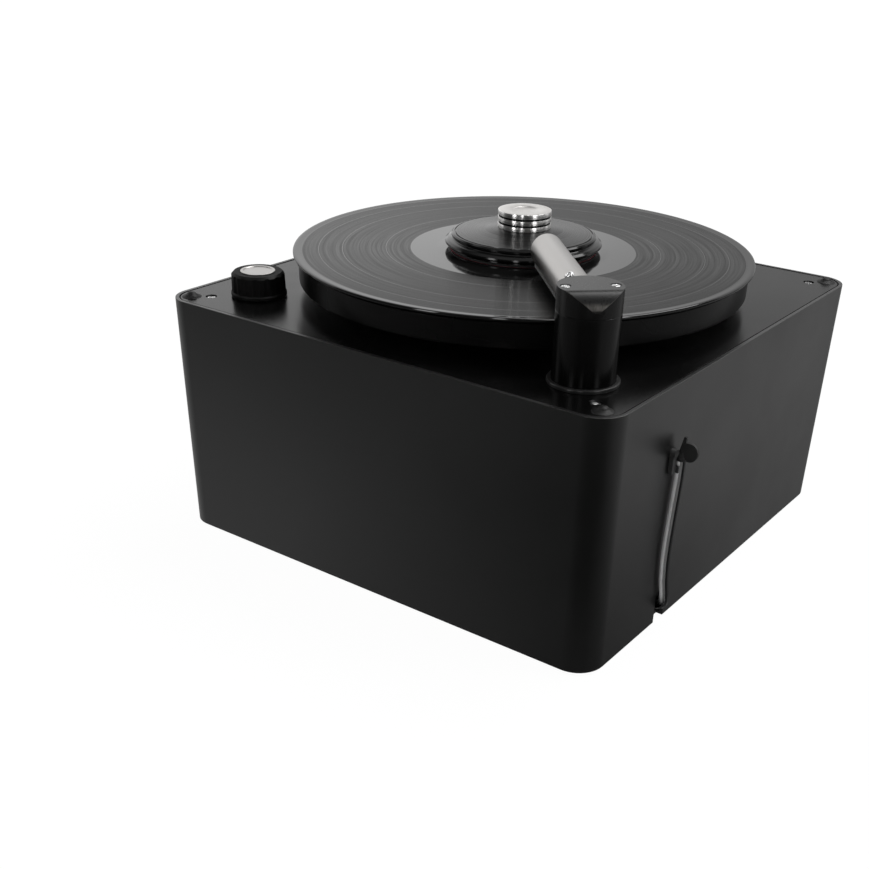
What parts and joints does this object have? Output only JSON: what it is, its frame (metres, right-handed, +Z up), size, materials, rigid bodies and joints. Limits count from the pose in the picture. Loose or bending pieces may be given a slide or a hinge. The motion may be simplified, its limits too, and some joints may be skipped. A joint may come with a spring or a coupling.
{
  "type": "record cleaning machine",
  "caption": "Square black casing with a motor driven record platter, a screw clamp on the spindle, a swinging suction arm, a control knob and a side drain tube.",
  "frame": {"origin": "centre of the casing's footprint, under the platter's axis, on the surface that the feet stand on", "axes": "+X to the right, +Y to the back with the mains inlet, +Z up along the spindle; control knob at the front left, arm post at the front right"},
  "size_m": [0.347, 0.3353, 0.2124],
  "materials": {
    "casing_black": "satin",
    "deck_black": "satin",
    "platter_black": "gloss",
    "zinc": "satin",
    "turned_silver": "polished",
    "satin_silver": "satin",
    "screw_steel": "polished",
    "pin_brass": "satin",
    "vinyl": "gloss",
    "label_paper": "matte",
    "clamp_black": "satin",
    "arm_black": "satin",
    "knob_black": "satin",
    "rubber_black": "matte",
    "velvet": "matte",
    "tank_white": "satin",
    "dark_plastic": "matte",
    "bearing_plastic": "satin",
    "clear_tube": "gloss",
    "board_green": "matte"
  },
  "bodies": {
    "machine": {"casing": "casing_black", "deck": "deck_black", "base_plate": "casing_black", "feet": "rubber_black", "standoffs": "zinc", "button_screws": "screw_steel", "corner_pads": "rubber_black", "bearing_housing": "zinc", "thrust_disc": "bearing_plastic", "motor_standoffs": "zinc", "gear_case": "zinc", "motor_can": "casing_black", "arm_sleeve": "deck_black", "arm_collar": "deck_black", "arm_spring": "zinc", "waste_tank": "tank_white", "tank_lid": "dark_plastic", "tank_strap": "zinc", "drain_outlet": "dark_plastic", "drain_tube": "clear_tube", "drain_clip": "dark_plastic", "air_hose": "dark_plastic", "vac_base": "dark_plastic", "fan_housing": "satin_silver", "vac_motor": "dark_plastic", "vac_bracket": "zinc", "exhaust_duct": "dark_plastic", "mains_inlet": "dark_plastic", "inlet_pins": "pin_brass", "rocker_frame": "dark_plastic", "switch_body": "dark_plastic", "switch_nut": "zinc", "control_board": "board_green"},
    "turntable": {"gear_shaft": "screw_steel", "coupling": "zinc", "spindle": "screw_steel", "platter": "platter_black", "platter_mat": "rubber_black", "record": "vinyl", "record_label": "label_paper"},
    "clamp": {"clamp_body": "clamp_black", "clamp_seal": "rubber_black"},
    "clamp_knob": {"clamp_nut": "turned_silver", "clamp_clip": "screw_steel"},
    "arm_carrier": {"thrust_washer": "zinc"},
    "arm": {"arm_post": "arm_black", "suction_pipe": "zinc", "arm_head": "arm_black", "arm_tube": "satin_silver", "tube_plug": "satin_silver", "velvet_strips": "velvet", "head_screws": "screw_steel", "tube_screw": "screw_steel"},
    "selector": {"control_knob": "knob_black", "knob_cap": "satin_silver", "switch_shaft": "zinc"},
    "stopper": {"drain_stopper": "rubber_black"},
    "mains_rocker": {"rocker": "dark_plastic"},
    "fan": {"impeller": "satin_silver", "vac_shaft": "screw_steel"}
  },
  "joints": [
    {"name": "platter_spin", "type": "hinge", "parent": "machine", "child": "turntable", "pos_m": [0, 0, 0.1835], "axis": [0, 0, 1], "continuous": true},
    {"name": "clamp_lift", "type": "slide", "parent": "turntable", "child": "clamp", "axis": [0, 0, 1], "range_m": [0, 0.0125]},
    {"name": "nut_turn", "type": "hinge", "parent": "clamp", "child": "clamp_knob", "pos_m": [0, 0, 0.2005], "axis": [0, 0, 1], "range_deg": [0, 3601]},
    {"name": "arm_lift", "type": "slide", "parent": "machine", "child": "arm_carrier", "axis": [0, 0, 1], "range_m": [-0.0006, 0.006], "stiffness_N_per_m": 800, "springref_m": 0.00225, "deforming": ["arm_spring"]},
    {"name": "arm_swing", "type": "hinge", "parent": "arm_carrier", "child": "arm", "pos_m": [0.1232, -0.1227, 0.119], "axis": [0, 0, 1], "range_deg": [-100, 100]},
    {"name": "knob_turn", "type": "hinge", "parent": "machine", "child": "selector", "pos_m": [-0.1232, -0.1227, 0.16], "axis": [0, 0, 1], "range_deg": [-60, 60]},
    {"name": "stopper_pull", "type": "slide", "parent": "machine", "child": "stopper", "axis": [0, 0, 1], "range_m": [0, 0.012]},
    {"name": "rocker_tilt", "type": "hinge", "parent": "machine", "child": "mains_rocker", "pos_m": [0.062, 0.1628, 0.035], "axis": [0, 0, 1], "range_deg": [-12, 0]},
    {"name": "fan_spin", "type": "hinge", "parent": "machine", "child": "fan", "pos_m": [-0.085, 0.07, 0.05], "axis": [0, 0, 1], "continuous": true}
  ],
  "couplings": [
    {"joint": "nut_turn", "follows": "clamp_lift", "rad_per_m": 5026.5}
  ]
}
